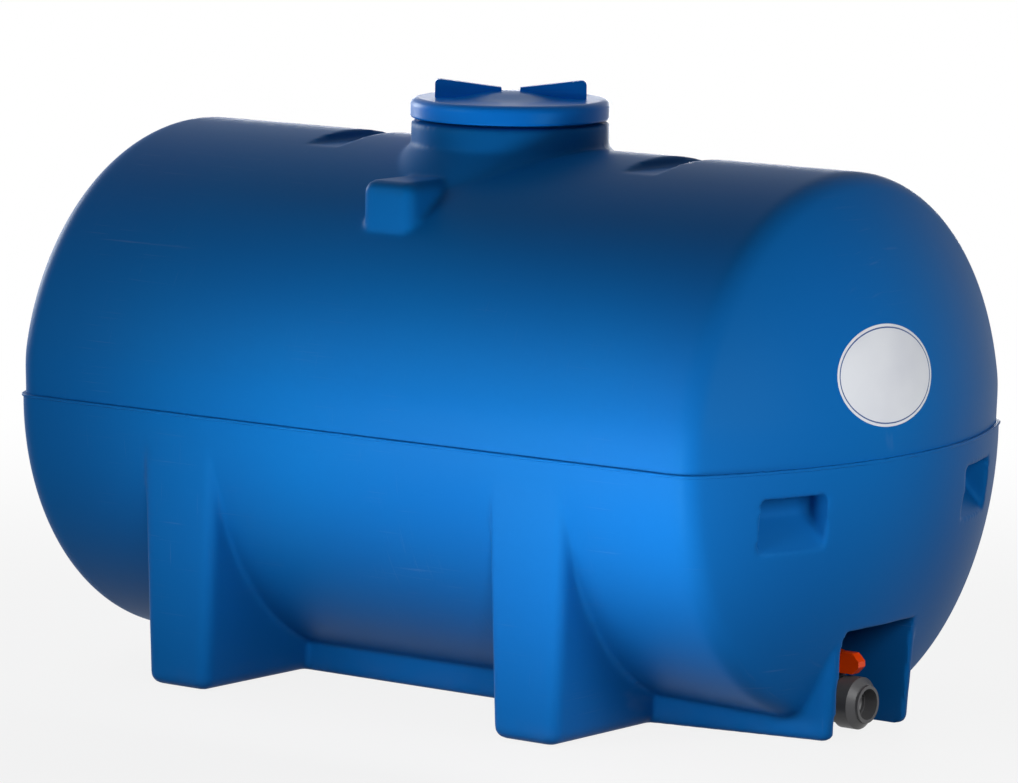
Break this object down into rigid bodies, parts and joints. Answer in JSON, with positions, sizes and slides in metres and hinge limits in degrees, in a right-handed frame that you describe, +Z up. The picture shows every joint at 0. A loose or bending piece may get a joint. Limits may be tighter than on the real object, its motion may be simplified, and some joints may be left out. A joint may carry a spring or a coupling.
{
  "type": "horizontal water storage tank",
  "caption": "Horizontal moulded plastic water tank on four feet, with a screw lid on a filler neck, strap channels, hand grips and a ball valve outlet.",
  "frame": {"origin": "on the ground under the middle of the barrel, at the bottom centre of the bounding box", "axes": "+Z up, +X along the barrel towards the outlet end, +Y to the left when facing +X"},
  "size_m": [1.8484, 1.006, 1.1373],
  "materials": {
    "tank_polyethylene": "satin rotomoulded polyethylene",
    "lid_polyethylene": "smooth injection moulded",
    "seal_rubber": "matt",
    "valve_grey": "satin pressure-pipe plastic",
    "valve_inner": "polished",
    "handle_plastic": "smooth moulded"
  },
  "bodies": {
    "tank": {"ball_seat_front": "valve_inner", "ball_seat_rear": "valve_inner", "belly_panel_left": "tank_polyethylene", "belly_panel_right": "tank_polyethylene", "crown_panel_front": "tank_polyethylene", "crown_panel_rear": "tank_polyethylene", "filler_neck": "tank_polyethylene", "fitting_back_nut": "valve_grey", "fitting_seal": "seal_rubber", "fitting_seat_left": "tank_polyethylene", "fitting_seat_right": "tank_polyethylene", "foot_front_left": "tank_polyethylene", "foot_front_right": "tank_polyethylene", "foot_rear_left": "tank_polyethylene", "foot_rear_right": "tank_polyethylene", "front_end_lower": "tank_polyethylene", "front_end_upper": "tank_polyethylene", "front_grip_left": "tank_polyethylene", "front_grip_right": "tank_polyethylene", "neck_spigot": "tank_polyethylene", "outlet_bay": "tank_polyethylene", "rear_end_lower": "tank_polyethylene", "rear_end_upper": "tank_polyethylene", "rear_grip_left": "tank_polyethylene", "rear_grip_right": "tank_polyethylene", "shoulder_panel_left": "tank_polyethylene", "shoulder_panel_right": "tank_polyethylene", "strap_channel_front": "tank_polyethylene", "strap_channel_rear": "tank_polyethylene", "sump": "tank_polyethylene", "tank_fitting": "valve_grey", "union_end_front": "valve_grey", "union_end_rear": "valve_grey", "union_nut_front": "valve_grey", "union_nut_rear": "valve_grey", "valve_body": "valve_grey"},
    "lid_seal": {"lid_seal": "seal_rubber"},
    "lid": {"screw_lid": "lid_polyethylene", "lid_skirt": "lid_polyethylene"},
    "handle": {"valve_handle": "handle_plastic", "valve_stem": "valve_inner", "valve_ball": "valve_inner"}
  },
  "joints": [
    {"name": "lid_lift", "type": "slide", "parent": "tank", "child": "lid_seal", "axis": [0, 0, 1], "range_m": [0, 0.4]},
    {"name": "lid_turn", "type": "hinge", "parent": "lid_seal", "child": "lid", "pos_m": [0, 0, 1.095], "axis": [0, 0, 1], "continuous": true},
    {"name": "valve_handle_turn", "type": "hinge", "parent": "tank", "child": "handle", "pos_m": [0.757, 0, 0.052], "axis": [0, 0, 1], "range_deg": [0, 90]}
  ]
}
